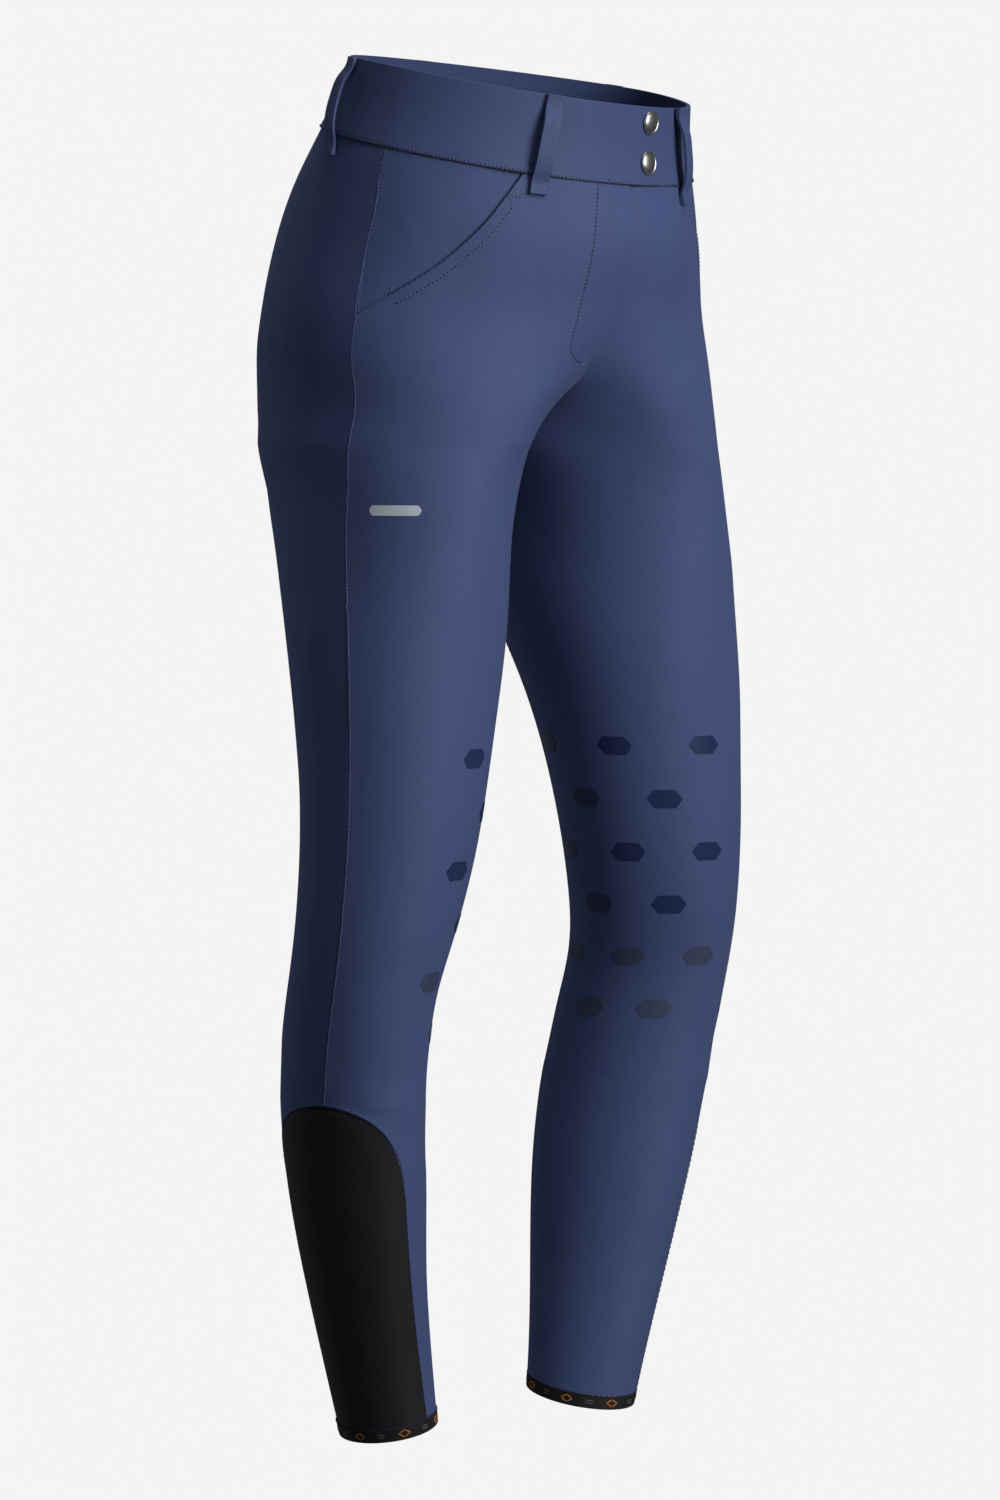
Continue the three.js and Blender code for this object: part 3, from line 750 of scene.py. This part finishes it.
def makeSnap(name):
    low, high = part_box(name)
    place, normal = layOn(treeOf(cloth["waistband"]), (low + high) / 2)
    bm = bmesh.new()
    verts = [bm.verts.new((radius * mm, 0, height * mm)) for radius, height in snapCap["outline"]]
    edges = [bm.edges.new(pair) for pair in zip(verts, verts[1:])]
    bmesh.ops.spin(bm, geom=verts + edges, cent=(0, 0, 0), axis=(0, 0, 1), angle=math.tau,
                   steps=snapCap["steps"], use_merge=True)
    bmesh.ops.remove_doubles(bm, verts=bm.verts[:], dist=clothMesh["weld"] * mm)
    bmesh.ops.holes_fill(bm, edges=[edge for edge in bm.edges if edge.is_boundary], sides=0)
    bmesh.ops.recalc_face_normals(bm, faces=bm.faces[:])
    bmesh.ops.transform(bm, verts=bm.verts[:],
                        matrix=Matrix.Translation(place + normal * snapCap["proud"] * mm)
                        @ up.rotation_difference(normal).to_matrix().to_4x4())
    piece = finishPiece(bm, name + "_cap", "snap_metal", "snapMetal")
    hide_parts(name)
    return piece


for name in ("upper_snap", "lower_snap"):
    makeSnap(name)

# Grip print: long hexagons of silicone in staggered rows on the inside of each knee; the lower rows are
# paler, duller and greyer
gripPrint = {
    "width": 25, "height": 13, "point": 5, "blunt": 0.04, "proud": 0.3, "thick": 0.5, "cells": (10, 4),
    "paleBelow": -570,
    "rows": [-440, -478, -516, -554, -592, -630],
    "evenBearings": [-97, -153, -209], "oddBearings": [-125, -181],
}


def patchOnLeg(run, side, bearing, height, patch, halfHeight):
    # lays a flat outline, given by its half height at each place across, on the leg
    columns, rows = patch["cells"]
    made = bmesh.ops.create_grid(run, x_segments=columns, y_segments=rows, size=0.5)
    place, _ = onLeg(side, bearing, height)
    radius = (place - hollowMiddle(place, side)).length / mm
    for vert in made["verts"]:
        across = vert.co.x * patch["width"]
        rise = vert.co.y * 2 * halfHeight(across)
        spot, normal = onLeg(side, bearing + math.degrees(across / radius), height + rise)
        vert.co = spot + normal * patch["proud"] * mm
    faces = list({face for vert in made["verts"] for face in vert.link_faces})
    bmesh.ops.recalc_face_normals(run, faces=faces)
    if faces[0].normal.dot(outwardAt(faces[0].calc_center_median())) < 0:
        bmesh.ops.reverse_faces(run, faces=faces)
    bmesh.ops.solidify(run, geom=faces, thickness=patch["thick"] * mm)
    bmesh.ops.recalc_face_normals(run, faces=run.faces[:])


def hexagonHalf(across):
    reach = gripPrint["width"] / 2 - gripPrint["point"]
    past = max(0, abs(across) - reach) / gripPrint["point"]
    return gripPrint["height"] / 2 * (1 - (1 - gripPrint["blunt"]) * past)


def makeGrips():
    bm = bmesh.new()
    for side in sides.values():
        for i, height in enumerate(gripPrint["rows"]):
            for bearing in gripPrint["oddBearings" if i % 2 else "evenBearings"]:
                run = bmesh.new()
                patchOnLeg(run, side, bearing, height, gripPrint, hexagonHalf)
                for face in run.faces:
                    face.material_index = 1 if height < gripPrint["paleBelow"] else 0
                appendTo(bm, run)
    return finishPiece(bm, "knee_grip", "silicone_print", "silicone", "paleSilicone")


makeGrips()

# A plain reflective bar with round ends on the right thigh
thighBar = {"place": (-163, -46, -272), "width": 36, "height": 7, "blunt": 0.02, "proud": 0.1,
            "thick": 0.25, "cells": (24, 3)}


def barHalf(across):
    radius = thighBar["height"] / 2
    past = max(0, abs(across) - (thighBar["width"] / 2 - radius))
    return math.sqrt(max(thighBar["blunt"], radius * radius - past * past))


def makeThighBar():
    point = Vector(thighBar["place"]) * mm
    side = sides["right"]
    way = point - hollowMiddle(point, side)
    bearing = math.degrees(math.atan2(way.y, side * way.x))
    bm = bmesh.new()
    patchOnLeg(bm, side, bearing, thighBar["place"][2], thighBar, barHalf)
    return finishPiece(bm, "thigh_bar", "reflective_print", "film")


makeThighBar()
print("prints ready")

# Hem bands: woven diamonds and pairs of dashes by turns
hemPattern = {"pitch": 17, "diamond": (8.4, 5.2), "line": (0.7, 0.5), "overlap": 1.1,
              "dash": (6.5, 0.9, 0.4), "apart": 0.9, "rimStep": 1.5}


def bandMiddle(word):
    # the middle line round a hem band, from its two outer rims
    rims = rimPaths(f"{word}_hem_band")[:2]
    upper, lower = [evenPoints(rim + rim[:1], hemPattern["rimStep"] * mm) for rim in rims]
    return [(point + min(lower, key=lambda other: (other - point).length)) / 2 for point in upper]


def makeHemMotifs():
    bm = bmesh.new()
    for word in sides:
        tree = treeOf(cloth[f"{word}_hem_band"])
        line = bandMiddle(word)
        around = sum((b - a).length for a, b in zip(line, line[1:]))
        pairs = round(around / (2 * hemPattern["pitch"] * mm))
        line = evenPoints(line, around / (2 * pairs))
        for k, point in enumerate(line[:-1]):
            place, normal = layOn(tree, point)
            along = (line[k + 1] - line[k - 1 if k else -2]).normalized()
            rise = normal.cross(along).normalized()
            run = bmesh.new()
            if k % 2:
                for shift in (-hemPattern["apart"], hemPattern["apart"]):
                    addStitch(run, place + rise * shift * mm, along, normal, *hemPattern["dash"], 1)
            else:
                wide, tall = (size / 2 * mm for size in hemPattern["diamond"])
                tips = [along * wide, rise * tall, -along * wide, -rise * tall]
                for a, b in zip(tips, tips[1:] + tips[:1]):
                    addStitch(run, place + (a + b) / 2, b - a, normal,
                              (b - a).length / mm * hemPattern["overlap"], *hemPattern["line"])
            appendTo(bm, run)
    return finishPiece(bm, "hem_motifs", "elastic", "orangeYarn", "greyYarn")


makeHemMotifs()
print("hem bands ready")

# Camera at the photograph's angle, floor and lights
shot = {"azimuth": -45, "pitch": 3.4, "distance": 4.0, "target": (0, 0, -0.442), "left": 0.0113,
        "pixelsPerMetre": 1 / 0.0007, "tall": 1500, "sensor": 36}


def placeCamera():
    turn, dip = math.radians(-shot["azimuth"]), math.radians(shot["pitch"])
    ahead = Vector((math.sin(turn) * math.cos(dip), math.cos(turn) * math.cos(dip), -math.sin(dip)))
    right = Vector((math.cos(turn), -math.sin(turn), 0))
    data = bpy.data.cameras.new("camera")
    data.sensor_width = shot["sensor"]
    data.lens = shot["distance"] * shot["pixelsPerMetre"] * shot["sensor"] / shot["tall"]
    camera = bpy.data.objects.new("camera", data)
    camera.location = Vector(shot["target"]) - ahead * shot["distance"] - right * shot["left"]
    camera.rotation_mode = "QUATERNION"
    camera.rotation_quaternion = ahead.to_track_quat("-Z", "Y")
    bpy.context.scene.collection.objects.link(camera)
    bpy.context.scene.camera = camera
    return ahead, right


ahead, right = placeCamera()

# Soft lamps, by how far right, near and high of the middle they stand, in metres
lampsAimAt = (0, 0, -0.45)
lamps = {
    "key": {"place": (2.3, 2.0, 1.0), "size": (1.6, 2.4), "power": 97, "colour": (1, 0.985, 0.97)},
    "fill": {"place": (-1.2, 2.8, 0.4), "size": (1.6, 2.0), "power": 4, "colour": (0.93, 0.96, 1)},
    "rim": {"place": (-2.2, -1.4, 0.3), "size": (0.8, 2.2), "power": 13, "colour": (1, 1, 1)},
    "top": {"place": (0.4, 0.6, 2.6), "size": (1.6, 1.6), "power": 14, "colour": (1, 1, 1)},
}


def placeLamp(name, look):
    target, (aside, near, rise) = Vector(lampsAimAt), look["place"]
    data = bpy.data.lights.new(name, "AREA")
    data.shape = "RECTANGLE"
    data.size, data.size_y = look["size"]
    data.energy = look["power"]
    data.color = look["colour"]
    lamp = bpy.data.objects.new(name, data)
    lamp.location = target + right * aside - ahead * near + up * rise
    lamp.rotation_mode = "QUATERNION"
    lamp.rotation_quaternion = (target - lamp.location).to_track_quat("-Z", "Y")
    lamp.visible_glossy = name != "rim"  # the print would mirror it
    bpy.context.scene.collection.objects.link(lamp)


for name, look in lamps.items():
    placeLamp(name, look)

# The floor and the backdrop show at one pale level, and the room adds a little light of its own
studio = {"floorHeight": -1.45, "floorSize": 40, "pale": 0.905, "ambient": 0.07,
          "ambientColour": (0.97, 0.98, 1, 1)}


def buildFloor():
    bm = bmesh.new()
    bmesh.ops.create_grid(bm, x_segments=8, y_segments=8, size=studio["floorSize"] / 2)
    bmesh.ops.translate(bm, verts=bm.verts[:], vec=(0, 0, studio["floorHeight"]))
    materials["paleFloor"] = makeMaterial(
        "paleFloor", Roughness=0.9, Base_Color=(0, 0, 0, 1), Emission_Color=(1, 1, 1, 1),
        Emission_Strength=studio["pale"], Specular_IOR_Level=0)[0]
    floor = objectFrom(bm, "floor", "paleFloor")
    floor.visible_diffuse = floor.visible_glossy = False


def buildWorld():
    world = bpy.data.worlds.new("studio")
    world.use_nodes = True
    tree = world.node_tree
    tree.nodes.clear()
    seen = addNode(tree, "ShaderNodeBackground", {"Color": (1, 1, 1, 1), "Strength": studio["pale"]})
    given = addNode(tree, "ShaderNodeBackground",
                    {"Color": studio["ambientColour"], "Strength": studio["ambient"]})
    path = addNode(tree, "ShaderNodeLightPath")
    mix = addNode(tree, "ShaderNodeMixShader")
    out = addNode(tree, "ShaderNodeOutputWorld")
    tree.links.new(path.outputs["Is Camera Ray"], mix.inputs["Fac"])
    tree.links.new(given.outputs["Background"], mix.inputs[1])
    tree.links.new(seen.outputs["Background"], mix.inputs[2])
    tree.links.new(mix.outputs["Shader"], out.inputs["Surface"])
    bpy.context.scene.world = world
    bpy.context.scene.view_settings.view_transform = "Standard"


buildFloor()
buildWorld()
print("studio ready")
